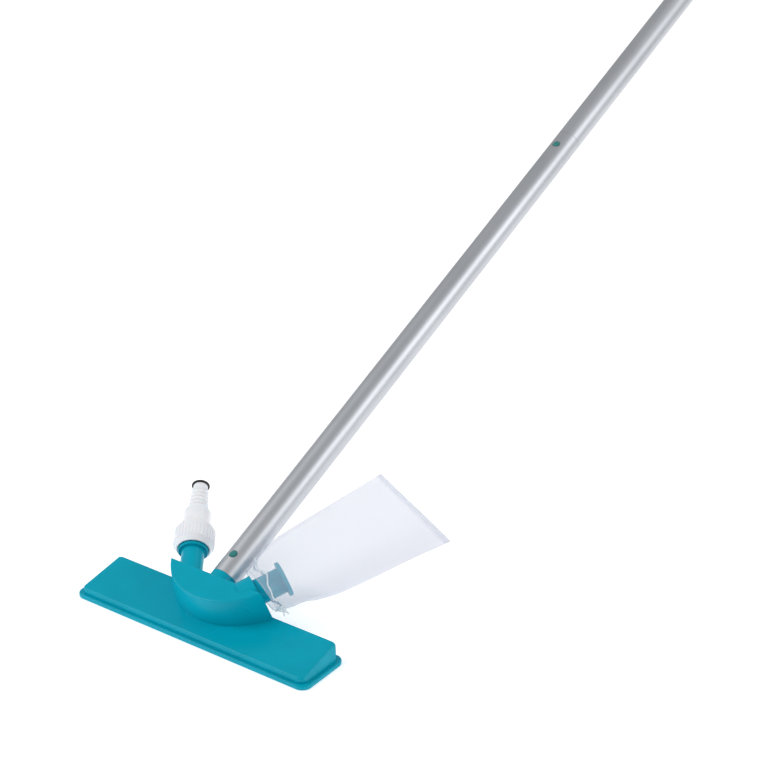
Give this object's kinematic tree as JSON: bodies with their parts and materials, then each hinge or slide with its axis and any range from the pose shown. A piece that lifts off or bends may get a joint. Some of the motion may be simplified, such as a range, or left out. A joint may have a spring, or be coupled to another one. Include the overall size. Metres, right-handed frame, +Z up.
{
  "type": "manual vacuum head",
  "caption": "Wedge-shaped pool vacuum head with a D-shaped housing, a barbed hose inlet, a sectional tube pole with snap buttons and a mesh debris bag on the outlet.",
  "frame": {"origin": "on the floor at the middle of the sole", "axes": "+X along the head towards the outlet and bag, +Y backwards under the pole, +Z up"},
  "size_m": [0.3308, 1.9403, 0.8763],
  "materials": {
    "teal_plastic": "moulded semi-gloss teal plastic",
    "teal_plastic_matt": "moulded matt teal plastic",
    "button_plastic": "moulded plastic",
    "white_plastic": "moulded white plastic",
    "satin_aluminium": "satin anodised tube",
    "spring_steel": "bright strip",
    "screw_steel": "stainless",
    "black_rubber": "moulded rubber",
    "bag_mesh": "fine translucent white mesh",
    "draw_cord": "thin twisted cord"
  },
  "bodies": {
    "head_and_pole": {"head_shell": "teal_plastic", "sole_plate": "teal_plastic_matt", "sole_screws": "screw_steel", "jet_manifold": "teal_plastic_matt", "inlet_pipe": "teal_plastic", "outlet_spool": "teal_plastic", "pole_stub": "teal_plastic", "pole_section_lower": "satin_aluminium", "pole_section_middle": "satin_aluminium", "pole_section_upper": "satin_aluminium", "pole_coupling_lower": "teal_plastic_matt", "pole_coupling_middle": "teal_plastic_matt", "stub_leaf": "spring_steel", "coupling_lower_leaf": "spring_steel", "coupling_middle_leaf": "spring_steel", "pole_cap": "teal_plastic", "union_washer": "black_rubber"},
    "stub_button": {"stub_button": "button_plastic"},
    "lower_coupling_button": {"coupling_lower_button": "button_plastic"},
    "middle_coupling_button": {"coupling_middle_button": "button_plastic"},
    "nut": {"union_nut": "white_plastic"},
    "tail": {"hose_tail": "white_plastic", "tail_ring": "black_rubber"},
    "bag": {"debris_bag": "bag_mesh", "bag_drawcord": "draw_cord", "cord_knot": "draw_cord"}
  },
  "joints": [
    {"name": "stub_button_press", "type": "slide", "parent": "head_and_pole", "child": "stub_button", "axis": [0, 0.4019, -0.9157], "range_m": [0, 0.0032], "stiffness_N_per_m": 1500, "springref_m": -0.0012, "deforming": ["stub_leaf"]},
    {"name": "lower_coupling_button_press", "type": "slide", "parent": "head_and_pole", "child": "lower_coupling_button", "axis": [0, 0.4019, -0.9157], "range_m": [0, 0.0032], "stiffness_N_per_m": 1500, "springref_m": -0.0012, "deforming": ["coupling_lower_leaf"]},
    {"name": "middle_coupling_button_press", "type": "slide", "parent": "head_and_pole", "child": "middle_coupling_button", "axis": [0, 0.4019, -0.9157], "range_m": [0, 0.0032], "stiffness_N_per_m": 1500, "springref_m": -0.0012, "deforming": ["coupling_middle_leaf"]},
    {"name": "nut_turn", "type": "hinge", "parent": "head_and_pole", "child": "nut", "pos_m": [-0.06012, 0.055, 0.05257], "axis": [-0.5299, 0.7765, 0.3409], "continuous": true},
    {"name": "tail_swivel", "type": "hinge", "parent": "head_and_pole", "child": "tail", "pos_m": [-0.06807, 0.06665, 0.05769], "axis": [-0.5299, 0.7765, 0.3409], "continuous": true},
    {"name": "bag_swing", "type": "hinge", "parent": "head_and_pole", "child": "bag", "pos_m": [0.0482, 0.03753, 0.0449], "axis": [0.848, -0.4852, -0.213], "range_deg": [-8, 8]}
  ]
}
